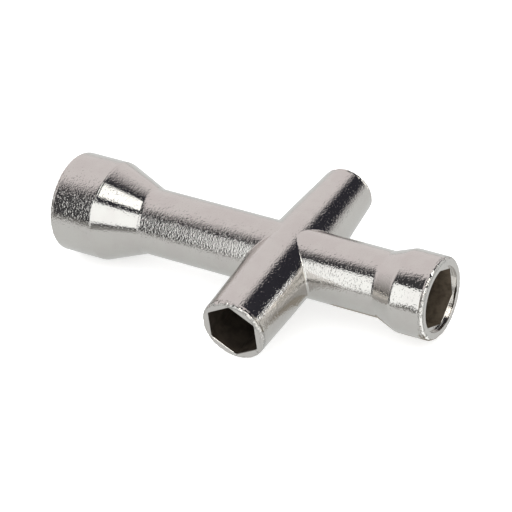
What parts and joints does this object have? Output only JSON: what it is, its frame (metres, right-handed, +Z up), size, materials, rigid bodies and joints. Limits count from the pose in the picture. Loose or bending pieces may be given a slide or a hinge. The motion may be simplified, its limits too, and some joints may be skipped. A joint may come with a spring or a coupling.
{
  "type": "cross socket wrench",
  "caption": "Cross socket wrench: a long bar with flared hexagon socket heads and a short tapered cross bar with a socket in each end, bright nickel plated.",
  "frame": {"origin": "the point where the axes of the two bars cross", "axes": "+X along the long bar to the 5.5 mm socket, -X to the 7 mm socket, -Y along the cross bar to the 5 mm socket, +Y to the 4 mm socket, +Z up and square to both bars"},
  "size_m": [0.042, 0.0236, 0.0102],
  "materials": {
    "plated_steel": "bright nickel plate, lightly scratched",
    "dowel_steel": "ground",
    "plated_braze": "brazing filler under the same nickel plate"
  },
  "bodies": {
    "root": {"cross_bar": "plated_steel", "long_arm": "plated_steel", "short_arm": "plated_steel", "dowel": "dowel_steel", "long_arm_seam": "plated_braze", "short_arm_seam": "plated_braze"}
  },
  "joints": []
}
